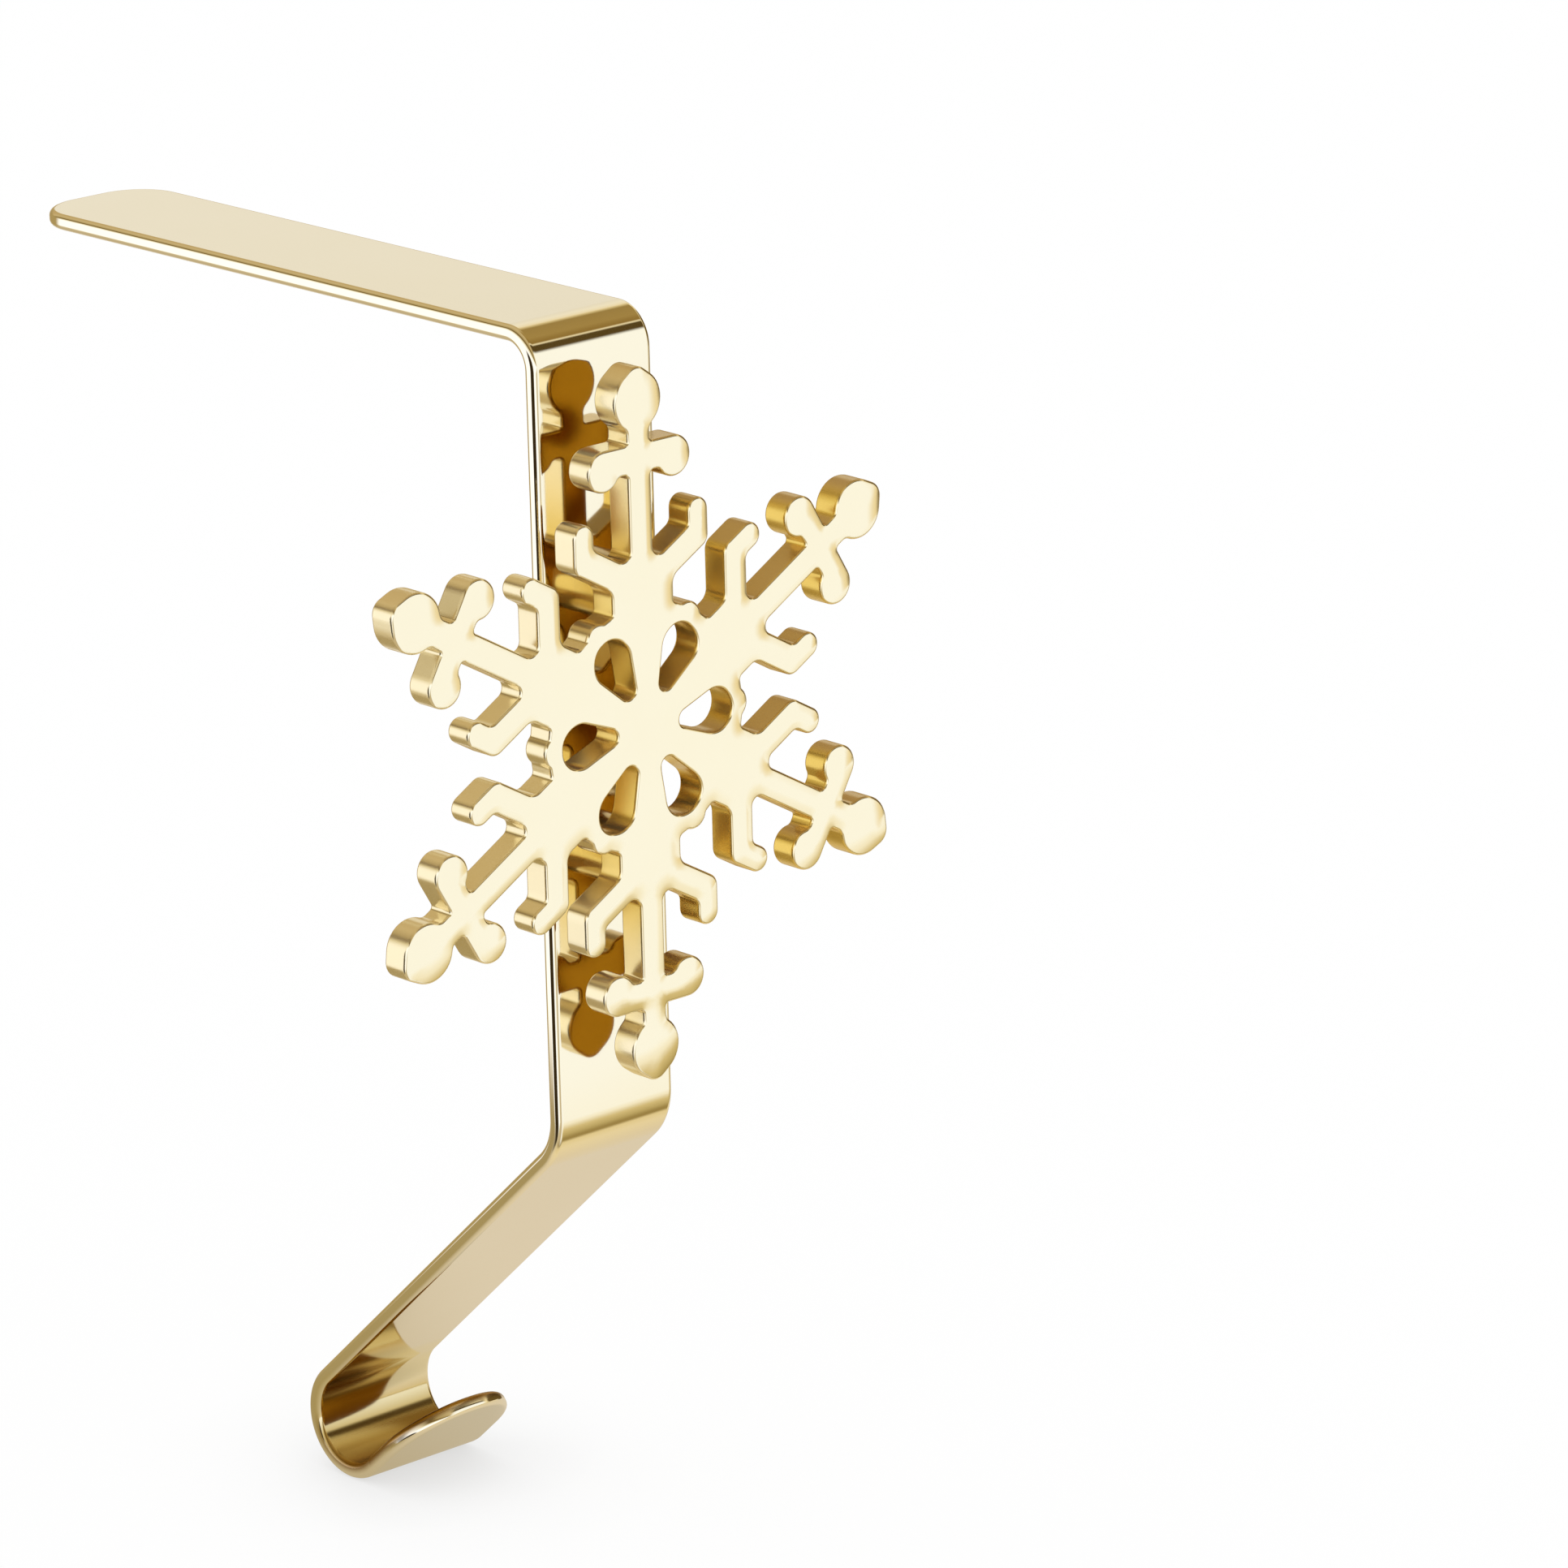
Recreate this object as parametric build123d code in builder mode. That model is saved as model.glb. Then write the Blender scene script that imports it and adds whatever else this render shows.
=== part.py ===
from build123d import *
import math
import os

# Mantel stocking holder: a bent, gold-plated steel strip that sits on a mantel shelf and hangs over
# its front edge, with a cast snowflake screwed to the front of it. Millimetres, +Z up, X across the
# strip, -Y to the front. The origin is the middle of the flat seat, where the strip rests on the shelf.

# Strip
STRIP_WIDTH = 18.0
STRIP_THICK = 2.0
SEAT_LENGTH = 89.5
TOP_BEND_RADIUS = 3.0
WEB_DROP = 96.2
LOW_BEND_RADIUS = 6.6
TONGUE_ANGLE = 42.0
TONGUE_LENGTH = 60.8
HOOK_RADIUS = 7.3
HOOK_TURN = 180.0
TIP_LENGTH = 12.8
TIP_FLAT = 0.7
SEAT_CORNER = 6.5
EDGE_BREAK = 0.5

# Snowflake outline, measured out from its centre along one arm and across that arm
ARMS = 6
STEM_WIDTH = 3.5
BODY_RADIUS = 14.9
TRUNK_WIDTH = 9.4
BUD_RADIUS = 3.6
BUD_REACH = 38.9
BUD_POINT_RADIUS = 1.9
BUD_POINT_REACH = 41.0
LOBE_RADIUS = 2.45
LOBE_REACH = 31.45
LOBE_SPREAD = 5.35
LOBE_BAR_WIDTH = 3.5
BRANCH_ROOT = 16.5
BRANCH_ANGLE = 60.0
FINGER_WIDTH = 3.1
FINGER_SPREAD = 8.7
FINGER_LENGTH = 1.65
BUMP_RADIUS = 2.0
BUMP_REACH = 13.6
HOLE_RADIUS = 2.65
HOLE_REACH = 10.3
HOLE_POINT_RADIUS = 1.1
HOLE_POINT_REACH = 5.9
NECK_ROUND = 1.2
NOTCH_ROUND = 0.5
LOBE_ROUND = 0.9
BRANCH_ROUND = 1.1
ELBOW_ROUND = 1.6
VALLEY_ROUND = 0.7

# Snowflake body
FLAKE_THICK = 4.0
FLAKE_GAP = 3.9
FLAKE_DROP = 45.4

# Posts and screws
POST_DIAMETER = 8.0
POST_REACH = 16.0
SCREW_DIAMETER = 3.0
SCREW_LENGTH = 6.0
HEAD_DIAMETER = 5.6
HEAD_SINK = 0.1
SINK_ANGLE = 90.0
SCREW_PLAY = 0.1
TAP_SPARE = 1.0
RECESS_LENGTH = 3.0
RECESS_WIDTH = 0.6
RECESS_DEPTH = 0.8

# Positions that follow from the sizes
WEB_BACK = -SEAT_LENGTH / 2 - TOP_BEND_RADIUS
WEB_FRONT = WEB_BACK - STRIP_THICK
FLAKE_BACK = WEB_FRONT - FLAKE_GAP
LOW_TURN = 90.0 - TONGUE_ANGLE
LOW_SETBACK = LOW_BEND_RADIUS * math.tan(math.radians(LOW_TURN / 2))
TIP_ANGLE = math.radians(TONGUE_ANGLE + HOOK_TURN)
TIP_ROUND = (STRIP_WIDTH - TIP_FLAT) / 2
HEAD_HEIGHT = (HEAD_DIAMETER - SCREW_DIAMETER) / 2 / math.tan(math.radians(SINK_ANGLE / 2))
SCREW_HOLE_RADIUS = (SCREW_DIAMETER + SCREW_PLAY) / 2
POST_PLACES = ((0, POST_REACH), (0, -POST_REACH))
STEM_HALF = STEM_WIDTH / 2
TRUNK_HALF = TRUNK_WIDTH / 2
FINGER_IN = FINGER_SPREAD - FINGER_WIDTH / 2
FINGER_OUT = FINGER_SPREAD + FINGER_WIDTH / 2
BAR_TOP = LOBE_REACH + LOBE_RADIUS
BAR_BOTTOM = BAR_TOP - LOBE_BAR_WIDTH
NECK_CORNER = BUD_REACH - math.sqrt(BUD_RADIUS**2 - STEM_HALF**2)
LOBE_CORNER = LOBE_SPREAD - math.sqrt(LOBE_RADIUS**2 - (LOBE_REACH - BAR_BOTTOM) ** 2)
BRANCH_SLANT = math.radians(BRANCH_ANGLE)
TOL = 0.01

rear_plane = Plane(origin=(0, WEB_BACK, -FLAKE_DROP), x_dir=(-1, 0, 0), z_dir=(0, 1, 0))
flake_plane = Plane(origin=(0, FLAKE_BACK, -FLAKE_DROP), x_dir=(1, 0, 0), z_dir=(0, -1, 0))
post_plane = Plane(origin=(0, WEB_FRONT, -FLAKE_DROP), x_dir=(1, 0, 0), z_dir=(0, -1, 0))


def branch_edge(across, side):
    """Distance out along the arm of a branch's outer (+1) or inner (-1) edge at a place across it."""
    return BRANCH_ROOT + across / math.tan(BRANCH_SLANT) + side * STEM_HALF / math.sin(BRANCH_SLANT)


def corners(builder, across, reach):
    """The two mirrored corners of an arm at a place across and out along it."""
    return builder.vertices().filter_by(
        lambda v: abs(abs(v.X) - across) < TOL and abs(v.Y - reach) < TOL
    )


# The finger's end, measured from the branch that carries it
FINGER_REACH = branch_edge(FINGER_IN, 1) + FINGER_LENGTH

# Two rounds share the underside of the lobes' bar, and are no larger than it has room for
LOBE_TURN = math.acos((LOBE_REACH - BAR_BOTTOM) / LOBE_RADIUS)
UNDERSIDE = LOBE_CORNER - STEM_HALF - TOL
UNDERSIDE_FIT = min(1, UNDERSIDE / (LOBE_ROUND * math.tan(LOBE_TURN / 2) + NOTCH_ROUND))

# Two rounds share the trunk's side from the body to the branch
TRUNK_TURN = math.asin(TRUNK_HALF / BODY_RADIUS)
TRUNK_SIDE = branch_edge(TRUNK_HALF, -1) - BODY_RADIUS * math.cos(TRUNK_TURN) - TOL
TRUNK_BEND = math.tan((math.pi / 2 - TRUNK_TURN) / 2)
TRUNK_FIT = min(1, TRUNK_SIDE / (VALLEY_ROUND * TRUNK_BEND + ELBOW_ROUND * math.tan(BRANCH_SLANT / 2)))

# Two rounds share the body's rim from the trunk to the bump
BUMP_COSINE = (BODY_RADIUS**2 + BUMP_REACH**2 - BUMP_RADIUS**2) / (2 * BODY_RADIUS * BUMP_REACH)
BUMP_TURN = math.pi / ARMS - math.acos(min(1, BUMP_COSINE))
CREASE_COSINE = (BODY_RADIUS**2 + BUMP_RADIUS**2 - BUMP_REACH**2) / (2 * BODY_RADIUS * BUMP_RADIUS)
BUMP_BEND = math.tan(math.acos(max(-1, min(1, CREASE_COSINE))) / 2)
VALLEY_RIM = BODY_RADIUS * (BUMP_TURN - TRUNK_TURN)
VALLEY_FIT = min(VALLEY_ROUND * TRUNK_FIT, VALLEY_RIM / (TRUNK_BEND + BUMP_BEND))

# The bent strip: its shelf-side face is drawn from the seat's end to the hook's tip, then thickened.
with BuildPart() as hook_strip:
    with BuildSketch(Plane.YZ) as profile:
        with BuildLine() as shelf_side:
            seat = Line((SEAT_LENGTH / 2, 0), (-SEAT_LENGTH / 2, 0))
            top_bend = JernArc(seat @ 1, seat % 1, TOP_BEND_RADIUS, 90)
            web = Line(top_bend @ 1, (WEB_BACK, -WEB_DROP + LOW_SETBACK))
            low_bend = JernArc(web @ 1, web % 1, LOW_BEND_RADIUS, LOW_TURN)
            tongue = PolarLine(low_bend @ 1, TONGUE_LENGTH - LOW_SETBACK, direction=low_bend % 1)
            hook = JernArc(tongue @ 1, tongue % 1, HOOK_RADIUS, -HOOK_TURN)
            tip = PolarLine(hook @ 1, TIP_LENGTH, direction=hook % 1)
            offset(amount=STRIP_THICK, side=Side.RIGHT)
        make_face()
    extrude(amount=STRIP_WIDTH / 2, both=True)
    # Rounded corners at the seat's end and a full round at the hook's tip
    fillet(hook_strip.edges().filter_by(Axis.Z).group_by(Axis.Y)[-1], SEAT_CORNER)
    tip_across = Axis((0, 0, 0), (0, math.sin(TIP_ANGLE), math.cos(TIP_ANGLE)))
    fillet(hook_strip.edges().filter_by(tip_across), TIP_ROUND)
    # The rim's edges are broken all the way round; bend lines and rim seams are left as they are
    rim = hook_strip.edges().filter_by(
        lambda e: abs(e.length - STRIP_THICK) > TOL and abs(e.length - STRIP_WIDTH) > TOL
    )
    chamfer(rim, EDGE_BREAK)
    with Locations(rear_plane):
        with Locations(*POST_PLACES):
            CounterSinkHole(SCREW_HOLE_RADIUS, HEAD_DIAMETER / 2 + HEAD_SINK, STRIP_THICK, SINK_ANGLE)

# One arm of the snowflake, pointing up
with BuildSketch() as bud:
    with Locations((0, BUD_REACH)):
        Circle(BUD_RADIUS)
    with Locations((0, BUD_POINT_REACH)):
        Circle(BUD_POINT_RADIUS)
    make_hull()

with BuildSketch() as branch:
    with BuildLine() as branch_line:
        Polyline(
            (0, branch_edge(0, -1)),
            (FINGER_OUT, branch_edge(FINGER_OUT, -1)),
            (FINGER_OUT, FINGER_REACH),
            (FINGER_IN, FINGER_REACH),
            (FINGER_IN, branch_edge(FINGER_IN, 1)),
            (0, branch_edge(0, 1)),
            close=True,
        )
    make_face()
    with Locations((FINGER_SPREAD, FINGER_REACH)):
        Circle(FINGER_WIDTH / 2)

with BuildSketch() as arm:
    Rectangle(STEM_WIDTH, BUD_REACH, align=(Align.CENTER, Align.MIN))
    Rectangle(TRUNK_WIDTH, BRANCH_ROOT + STEM_HALF, align=(Align.CENTER, Align.MIN))
    with Locations((0, BAR_BOTTOM)):
        Rectangle(2 * LOBE_SPREAD, LOBE_BAR_WIDTH, align=(Align.CENTER, Align.MIN))
    with Locations((LOBE_SPREAD, LOBE_REACH), (-LOBE_SPREAD, LOBE_REACH)):
        Circle(LOBE_RADIUS)
    add(bud.sketch)
    add(branch.sketch)
    mirror(branch.sketch, about=Plane.YZ)
    fillet(corners(arm, STEM_HALF, NECK_CORNER), NECK_ROUND)
    fillet(corners(arm, STEM_HALF, BAR_TOP), NOTCH_ROUND)
    fillet(corners(arm, LOBE_CORNER, BAR_BOTTOM), LOBE_ROUND * UNDERSIDE_FIT)
    fillet(corners(arm, STEM_HALF, BAR_BOTTOM), NOTCH_ROUND * UNDERSIDE_FIT)
    fillet(corners(arm, STEM_HALF, branch_edge(STEM_HALF, 1)), BRANCH_ROUND)
    fillet(corners(arm, FINGER_IN, branch_edge(FINGER_IN, 1)), BRANCH_ROUND)
    fillet(corners(arm, FINGER_OUT, branch_edge(FINGER_OUT, -1)), ELBOW_ROUND)
    fillet(corners(arm, TRUNK_HALF, branch_edge(TRUNK_HALF, -1)), ELBOW_ROUND * TRUNK_FIT)

with BuildSketch() as drop_hole:
    with Locations((0, HOLE_REACH)):
        Circle(HOLE_RADIUS)
    with Locations((0, HOLE_POINT_REACH)):
        Circle(HOLE_POINT_RADIUS)
    make_hull()

# The snowflake with its two posts and their screw holes
with BuildPart() as snowflake:
    with BuildSketch(flake_plane) as outline:
        Circle(BODY_RADIUS)
        with PolarLocations(0, ARMS):
            add(arm.sketch)
        with PolarLocations(BUMP_REACH, ARMS, start_angle=90 - 180 / ARMS):
            Circle(BUMP_RADIUS)
        valleys = outline.vertices().filter_by(
            lambda v: abs(math.hypot(v.X, v.Y) - BODY_RADIUS) < TOL
        )
        fillet(valleys, VALLEY_FIT)
        with PolarLocations(0, ARMS, start_angle=180 / ARMS):
            add(drop_hole.sketch, mode=Mode.SUBTRACT)
    extrude(amount=FLAKE_THICK)
    with BuildSketch(post_plane):
        with Locations(*POST_PLACES):
            Circle(POST_DIAMETER / 2)
    extrude(amount=FLAKE_GAP + FLAKE_THICK / 2)
    with BuildSketch(post_plane):
        with Locations(*POST_PLACES):
            Circle(SCREW_HOLE_RADIUS)
    extrude(amount=SCREW_LENGTH - STRIP_THICK + TAP_SPARE, mode=Mode.SUBTRACT)

# One countersunk screw, turned about its axis, then set in both holes
with BuildPart() as screw:
    with BuildSketch(Plane.XZ):
        with BuildLine():
            Polyline(
                (0, -HEAD_SINK),
                (HEAD_DIAMETER / 2, -HEAD_SINK),
                (SCREW_DIAMETER / 2, -HEAD_SINK - HEAD_HEIGHT),
                (SCREW_DIAMETER / 2, -SCREW_LENGTH),
                (0, -SCREW_LENGTH),
                close=True,
            )
        make_face()
    revolve(axis=Axis.Z)
    with BuildSketch(Plane.XY.offset(-HEAD_SINK)):
        Rectangle(RECESS_LENGTH, RECESS_WIDTH)
        Rectangle(RECESS_WIDTH, RECESS_LENGTH)
    extrude(amount=-RECESS_DEPTH, mode=Mode.SUBTRACT)

with BuildPart() as fixing_screws:
    with Locations(rear_plane):
        with Locations(*POST_PLACES):
            add(screw.part)

os.makedirs("parts", exist_ok=True)
hook_strip.part.label = "hook_strip"
snowflake.part.label = "snowflake"
fixing_screws.part.label = "fixing_screws"
export_step(hook_strip.part, "parts/hook_strip.step")
export_step(snowflake.part, "parts/snowflake.step")
export_step(fixing_screws.part, "parts/fixing_screws.step")
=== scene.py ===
import math

import bpy
import numpy as np
from mathutils import Matrix, Vector
from mathutils.geometry import delaunay_2d_cdt
from mathutils.kdtree import KDTree


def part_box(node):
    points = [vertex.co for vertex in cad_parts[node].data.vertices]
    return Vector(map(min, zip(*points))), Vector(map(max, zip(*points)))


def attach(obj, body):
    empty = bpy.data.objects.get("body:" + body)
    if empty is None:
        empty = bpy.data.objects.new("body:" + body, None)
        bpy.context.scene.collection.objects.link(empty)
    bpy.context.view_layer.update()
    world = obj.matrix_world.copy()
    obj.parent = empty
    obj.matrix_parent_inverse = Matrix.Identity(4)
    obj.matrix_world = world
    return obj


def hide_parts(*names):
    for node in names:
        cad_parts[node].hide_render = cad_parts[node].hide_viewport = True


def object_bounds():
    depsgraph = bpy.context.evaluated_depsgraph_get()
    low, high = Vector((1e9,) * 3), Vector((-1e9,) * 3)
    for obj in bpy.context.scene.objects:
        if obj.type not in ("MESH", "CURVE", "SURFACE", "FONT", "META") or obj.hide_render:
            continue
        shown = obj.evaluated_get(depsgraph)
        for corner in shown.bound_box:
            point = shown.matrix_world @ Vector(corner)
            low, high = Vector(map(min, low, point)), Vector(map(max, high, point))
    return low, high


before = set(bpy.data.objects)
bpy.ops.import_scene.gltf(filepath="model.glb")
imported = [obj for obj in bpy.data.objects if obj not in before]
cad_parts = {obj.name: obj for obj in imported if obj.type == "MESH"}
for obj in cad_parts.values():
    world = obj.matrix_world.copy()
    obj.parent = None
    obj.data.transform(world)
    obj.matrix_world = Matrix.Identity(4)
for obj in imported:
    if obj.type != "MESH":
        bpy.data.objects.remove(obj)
cad_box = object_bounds()
MM = 0.001
TINY = 1e-9

# Strip, as packed, with its broken edges rounded
STRIP_WIDTH = 18.0 * MM
STRIP_THICK = 2.0 * MM
SEAT_LENGTH = 89.5 * MM
TOP_BEND_RADIUS = 3.0 * MM
WEB_DROP = 96.2 * MM
LOW_BEND_RADIUS = 6.6 * MM
TONGUE_ANGLE = math.radians(42.0)
TONGUE_LENGTH = 60.8 * MM
HOOK_RADIUS = 7.3 * MM
TIP_LENGTH = 12.8 * MM
TIP_FLAT = 0.7 * MM
SEAT_CORNER = 6.5 * MM
STRIP_EDGE = 0.8 * MM
BEND_STEP = math.radians(3.0)
CORNER_STEP = math.radians(4.0)
SINK_RADIUS = 2.9 * MM
SCREW_HOLE_RADIUS = 1.55 * MM
FLAKE_DROP = 45.4 * MM

# Snowflake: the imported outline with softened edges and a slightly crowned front
FLAKE_THICK = 4.0 * MM
FLAKE_EDGE = 0.4 * MM
EDGE_STEPS = 6
CROWN_DROP = 0.43 * MM
CROWN_WIDTH = 3.6 * MM
CROWN_STEPS = (0.6 * MM, 1.0 * MM, 1.5 * MM, 2.1 * MM, 2.8 * MM, 3.6 * MM)
LOWER_LEAN = 1.7
LONGEST_STEP = 0.5 * MM
FINE_STEP = 0.02 * MM
SMOOTH_REACH = 0.5 * MM
SMOOTH_TURNS = 8
CLEAR_SHARE = 0.97
FLAT_GAP = 1e-6
KEYS_PER_METRE = 1e6
POST_RADIUS = 4.0 * MM
POST_REACH = 16.0 * MM
ROUND_STEPS = 64

# Camera, from the photograph
CAMERA_PLACE = Vector((-0.5887, -0.7355, 0.2204))
CAMERA_RIGHT = Vector((0.73876, -0.67357, -0.02319))
CAMERA_UP = Vector((0.21240, 0.20002, 0.95649))
FOCAL_PIXELS = 10000
PHOTO_PIXELS = 1932
SENSOR = 36.0
CLIP_START = 0.05
CLIP_END = 100.0


# Node helpers

NOISE_MIDDLE = (0.35, 0.65)


def new_tree(material):
    material.use_nodes = True
    tree = material.node_tree
    tree.nodes.clear()
    return tree


def node(tree, kind, inputs=None, **settings):
    made = tree.nodes.new(kind)
    for name, value in settings.items():
        setattr(made, name, value)
    for name, value in (inputs or {}).items():
        if isinstance(value, bpy.types.NodeSocket):
            tree.links.new(value, made.inputs[name])
        else:
            made.inputs[name].default_value = value
    return made


def math_node(tree, operation, first, second=0.0):
    return node(tree, "ShaderNodeMath", {0: first, 1: second}, operation=operation).outputs[0]


def product(tree, first, *others):
    for other in others:
        first = math_node(tree, "MULTIPLY", first, other)
    return first


def map_range(tree, value, start, end, low=0.0, high=1.0, **settings):
    inputs = {"Value": value, 1: start, 2: end, 3: low, 4: high}
    return node(tree, "ShaderNodeMapRange", inputs, **settings).outputs[0]


def smooth(tree, value, start, end):
    """0 at start to 1 at end, with soft ends."""
    return map_range(tree, value, start, end, interpolation_type="SMOOTHSTEP")


def spread(tree, value, low, high):
    """A noise value's middle range, stretched from low to high."""
    return map_range(tree, value, *NOISE_MIDDLE, low, high)


def ramp(tree, factor, stops):
    made = node(tree, "ShaderNodeValToRGB", {"Fac": factor})
    points = made.color_ramp.elements
    while len(points) < len(stops):
        points.new(0.5)
    for point, (place, colour) in zip(points, stops):
        point.position = place
        point.color = (*colour, 1.0)
    return made.outputs["Color"]


def mix_colour(tree, factor, first, second):
    # The colour sockets of this node are its inputs 6 and 7 and its output 2
    made = node(tree, "ShaderNodeMix", data_type="RGBA")
    for slot, value in ((0, factor), (6, first), (7, second)):
        if isinstance(value, bpy.types.NodeSocket):
            tree.links.new(value, made.inputs[slot])
        else:
            made.inputs[slot].default_value = (*value, 1.0)
    return made.outputs[2]


def mix_value(tree, factor, first, second):
    return node(tree, "ShaderNodeMix", {0: factor, 2: first, 3: second}).outputs[0]


def dot(tree, vector, direction):
    made = node(tree, "ShaderNodeVectorMath", {0: vector, 1: direction}, operation="DOT_PRODUCT")
    return made.outputs["Value"]


def noise(tree, coordinates, settings):
    return node(tree, "ShaderNodeTexNoise", {"Vector": coordinates, **settings}).outputs["Fac"]


def relief(tree, height, settings):
    return node(tree, "ShaderNodeBump", {"Height": height, **settings}).outputs[0]


# Sheet meshes: drawn flat with a depth from the front, then set in place

class Surface:
    """Points, normals and faces gathered for one mesh.

    place() sets flat points, depths and flat normals in space.
    """

    def __init__(self, place):
        self.place = place
        self.points, self.normals, self.faces = [], [], []

    def add(self, flat, depth, normals, faces):
        base, count = len(self.points), len(flat)
        depths, flat_normals = np.broadcast_to(depth, count), np.broadcast_to(normals, (count, 3))
        points, turned = self.place(flat, depths, flat_normals)
        self.points.extend(map(tuple, points))
        self.normals.extend(map(tuple, turned))
        self.faces.extend(tuple(int(i) + base for i in f) for f in faces)

    def band(self, rings):
        """Quads between closed rings of the same length, from the back to the front."""
        count = len(rings[0][0])
        faces = []
        for k in range(len(rings) - 1):
            for i in range(count):
                j = (i + 1) % count
                faces.append((k * count + i, k * count + j, (k + 1) * count + j, (k + 1) * count + i))
        flat, depth, normals = (np.concatenate([ring[part] for ring in rings]) for part in range(3))
        self.add(flat, depth, normals, faces)

    def mesh(self, name):
        made = bpy.data.meshes.new(name)
        made.from_pydata(self.points, [], self.faces)
        made.polygons.foreach_set("use_smooth", [True] * len(made.polygons))
        made.normals_split_custom_set_from_vertices(self.normals)
        made.update()
        return made


FRONT = (0.0, 0.0, -1.0)
BACK = (0.0, 0.0, 1.0)

# The kind of result of delaunay_2d_cdt that has only the triangles inside the rings
KEEP_INSIDE = 1


def inward(loop):
    """Unit normals at the loop's points, towards the metal."""
    ahead = np.roll(loop, -1, axis=0) - loop
    ahead /= np.linalg.norm(ahead, axis=1)[:, None]
    along = ahead + np.roll(ahead, 1, axis=0)
    along /= np.linalg.norm(along, axis=1)[:, None]
    return np.stack([-along[:, 1], along[:, 0]], axis=1)


def circle(middle, radius):
    """A hole's loop, with the metal on its left."""
    turn = np.linspace(0, -2 * math.pi, ROUND_STEPS, endpoint=False)
    return np.array(middle) + radius * np.stack([np.cos(turn), np.sin(turn)], axis=1)


def ring(loop, depth, out, lean):
    """A ring of a band: a loop at a depth; its normals have a flat part and a part along the depth."""
    normals = np.concatenate([out, np.full((len(loop), 1), lean)], axis=1)
    return loop, np.broadcast_to(depth, len(loop)), normals


def edge_rings(loop, side, radius, depth, way, turn_to):
    """Rings round one softened edge, from the wall to a face at a depth.

    way is 1 at the front and -1 at the back.
    """
    made = []
    for k in range(EDGE_STEPS + 1):
        turn = turn_to * k / EDGE_STEPS
        flat = loop + side * radius * (1 - math.cos(turn))
        level = depth + way * radius * (1 - math.sin(turn))
        made.append(ring(flat, level, -side * math.cos(turn), -way * math.sin(turn)))
    return made


def inside(points, loops):
    """Which points lie in the metal."""
    hits = np.zeros(len(points), int)
    for loop in loops:
        for a, b in zip(loop, np.roll(loop, -1, axis=0)):
            over = (a[1] > points[:, 1]) != (b[1] > points[:, 1])
            if over.any():
                x = a[0] + (points[:, 1] - a[1]) / (b[1] - a[1]) * (b[0] - a[0])
                hits += over & (points[:, 0] < x)
    return hits % 2 == 1


def fill(rings, extra=(), links=()):
    """Triangles between closed rings, with extra points inside and links across the first ring."""
    points, edges = [], list(links)
    for loop in rings:
        base = len(points)
        points.extend(loop)
        edges.extend((base + k, base + (k + 1) % len(loop)) for k in range(len(loop)))
    points.extend(extra)
    made = delaunay_2d_cdt([Vector(p) for p in points], edges, [], KEEP_INSIDE, TINY)
    flat = np.array([tuple(v) for v in made[0]])
    faces = np.array(made[2])
    keep = inside(flat[faces].mean(1), rings)
    return flat, faces[keep]


# Strip mesh: its outline drawn flat, along its length and across it, then bent

def strip_runs():
    """The strip's shelf-side line in Y and Z: each run's length, turn, start and heading."""
    low_turn = math.pi / 2 - TONGUE_ANGLE
    low_setback = LOW_BEND_RADIUS * math.tan(low_turn / 2)
    at, heading = np.array((SEAT_LENGTH / 2, 0.0)), math.pi
    runs = []
    for length, turn in (
        (SEAT_LENGTH, 0.0),
        (TOP_BEND_RADIUS * math.pi / 2, math.pi / 2),
        (WEB_DROP - TOP_BEND_RADIUS - low_setback, 0.0),
        (LOW_BEND_RADIUS * low_turn, low_turn),
        (TONGUE_LENGTH - low_setback, 0.0),
        (HOOK_RADIUS * math.pi, -math.pi),
        (TIP_LENGTH, 0.0),
    ):
        runs.append((length, turn, at, heading))
        ends, headings = run_places(runs[-1], np.array([length]))
        at, heading = ends[0], headings[0]
    return runs


def run_places(run, along):
    """Points and headings at distances along one run."""
    length, turn, start, heading = run
    headings = heading + turn * along / length
    if turn == 0.0:
        way = np.array((math.cos(heading), math.sin(heading)))
        return start + along[:, None] * way, headings
    radius = length / turn
    step = np.stack([np.sin(headings) - math.sin(heading), math.cos(heading) - np.cos(headings)], axis=1)
    return start + radius * step, headings


def follow(along):
    """Points and headings at distances along the whole strip."""
    places, headings = np.zeros((len(along), 2)), np.zeros(len(along))
    begin = 0.0
    for run in STRIP_RUNS:
        here = along >= begin - TINY
        places[here], headings[here] = run_places(run, along[here] - begin)
        begin += run[0]
    return places, headings


def strip_place(flat, depth, normals):
    places, headings = follow(flat[:, 0])
    ahead = np.stack([np.cos(headings), np.sin(headings)], axis=1)
    out = np.stack([np.sin(headings), -np.cos(headings)], axis=1)
    points = places + out * (STRIP_THICK - depth)[:, None]
    turned = ahead * normals[:, :1] - out * normals[:, 2:]
    return np.column_stack([flat[:, 1], points]), np.column_stack([normals[:, 1], turned])


def corner(middle, radius, start):
    """A quarter round of the outline, without its last point."""
    steps = math.ceil(math.pi / 2 / CORNER_STEP)
    turn = start + np.linspace(0, math.pi / 2, steps, endpoint=False)
    return np.array(middle) + radius * np.stack([np.cos(turn), np.sin(turn)], axis=1)


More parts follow.
